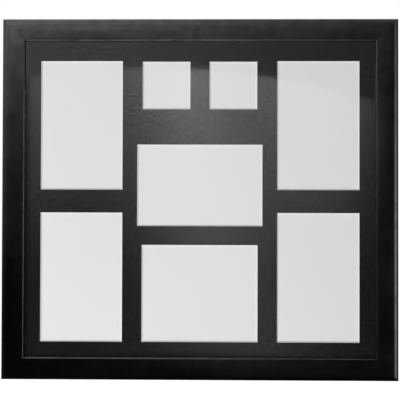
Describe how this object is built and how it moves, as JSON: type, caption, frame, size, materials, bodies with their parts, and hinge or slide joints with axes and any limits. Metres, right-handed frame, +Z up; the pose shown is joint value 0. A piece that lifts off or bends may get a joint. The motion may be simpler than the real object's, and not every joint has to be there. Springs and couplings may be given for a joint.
{
  "type": "collage photo frame",
  "caption": "Wide black collage photo frame: glossy mitred moulding, clear glazing and a dark bevel cut mount over blank photo sheets, with turn buttons and ring hangers behind.",
  "frame": {"origin": "seat of the nail: the inner top of the upper hanger's ring, in the middle of its wire", "axes": "+X to the viewer's right along the width, +Y from the front to the wall, +Z up"},
  "size_m": [0.4306, 0.0166, 0.3925],
  "materials": {
    "moulding_lacquer": "black, high gloss",
    "nail_steel": "plain",
    "clear_glazing": "clear, polished",
    "mount_card": "matt charcoal face over a white core",
    "photo_paper": "smooth pale grey, blank",
    "pulp_card": "plain brown pulp card",
    "fibreboard": "bare brown fibreboard",
    "screw_brass": "plated",
    "plated_steel": "nickel plated",
    "ring_wire": "nickel plated wire",
    "rivet_steel": "nickel plated",
    "pad_rubber": "matt black"
  },
  "bodies": {
    "frame": {"rail_top": "moulding_lacquer", "rail_bottom": "moulding_lacquer", "rail_left": "moulding_lacquer", "rail_right": "moulding_lacquer", "corner_v_nails": "nail_steel", "glazing_sheet": "clear_glazing", "mount_board": "mount_card", "photo_top_left": "photo_paper", "photo_bottom_left": "photo_paper", "photo_top_right": "photo_paper", "photo_bottom_right": "photo_paper", "photo_small_left": "photo_paper", "photo_small_right": "photo_paper", "photo_centre": "photo_paper", "photo_bottom_centre": "photo_paper", "filler_card": "pulp_card", "backing_board": "fibreboard", "button_screws": "screw_brass", "hanger_strap_top": "plated_steel", "hanger_strap_side": "plated_steel", "hanger_rivets": "rivet_steel", "wall_pad_left": "pad_rubber", "wall_pad_right": "pad_rubber"},
    "turn_button_top_left": {"turn_button_top_left": "plated_steel"},
    "turn_button_top_right": {"turn_button_top_right": "plated_steel"},
    "turn_button_bottom_left": {"turn_button_bottom_left": "plated_steel"},
    "turn_button_bottom_right": {"turn_button_bottom_right": "plated_steel"},
    "turn_button_left_upper": {"turn_button_left_upper": "plated_steel"},
    "turn_button_left_lower": {"turn_button_left_lower": "plated_steel"},
    "turn_button_right_upper": {"turn_button_right_upper": "plated_steel"},
    "turn_button_right_lower": {"turn_button_right_lower": "plated_steel"},
    "hanger_ring_top": {"hanger_ring_top": "ring_wire"},
    "hanger_ring_side": {"hanger_ring_side": "ring_wire"}
  },
  "joints": [
    {"name": "turn_top_left", "type": "hinge", "parent": "frame", "child": "turn_button_top_left", "pos_m": [-0.11088, -0.00188, 0.01985], "axis": [0, 1, 0], "continuous": true},
    {"name": "turn_top_right", "type": "hinge", "parent": "frame", "child": "turn_button_top_right", "pos_m": [0.11088, -0.00188, 0.01985], "axis": [0, 1, 0], "continuous": true},
    {"name": "turn_bottom_left", "type": "hinge", "parent": "frame", "child": "turn_button_bottom_left", "pos_m": [-0.11088, -0.00188, -0.35495], "axis": [0, 1, 0], "continuous": true},
    {"name": "turn_bottom_right", "type": "hinge", "parent": "frame", "child": "turn_button_bottom_right", "pos_m": [0.11088, -0.00188, -0.35495], "axis": [0, 1, 0], "continuous": true},
    {"name": "turn_left_upper", "type": "hinge", "parent": "frame", "child": "turn_button_left_upper", "pos_m": [-0.20645, -0.00188, -0.06648], "axis": [0, 1, 0], "continuous": true},
    {"name": "turn_left_lower", "type": "hinge", "parent": "frame", "child": "turn_button_left_lower", "pos_m": [-0.20645, -0.00188, -0.26862], "axis": [0, 1, 0], "continuous": true},
    {"name": "turn_right_upper", "type": "hinge", "parent": "frame", "child": "turn_button_right_upper", "pos_m": [0.20645, -0.00188, -0.06648], "axis": [0, 1, 0], "continuous": true},
    {"name": "turn_right_lower", "type": "hinge", "parent": "frame", "child": "turn_button_right_lower", "pos_m": [0.20645, -0.00188, -0.26862], "axis": [0, 1, 0], "continuous": true},
    {"name": "swing_top_ring", "type": "hinge", "parent": "frame", "child": "hanger_ring_top", "pos_m": [0, 0, -0.0102], "axis": [-1, 0, 0], "range_deg": [-3, 174]},
    {"name": "swing_side_ring", "type": "hinge", "parent": "frame", "child": "hanger_ring_side", "pos_m": [0.1764, 0, -0.16755], "axis": [0, 0, 1], "range_deg": [-3, 174]}
  ]
}
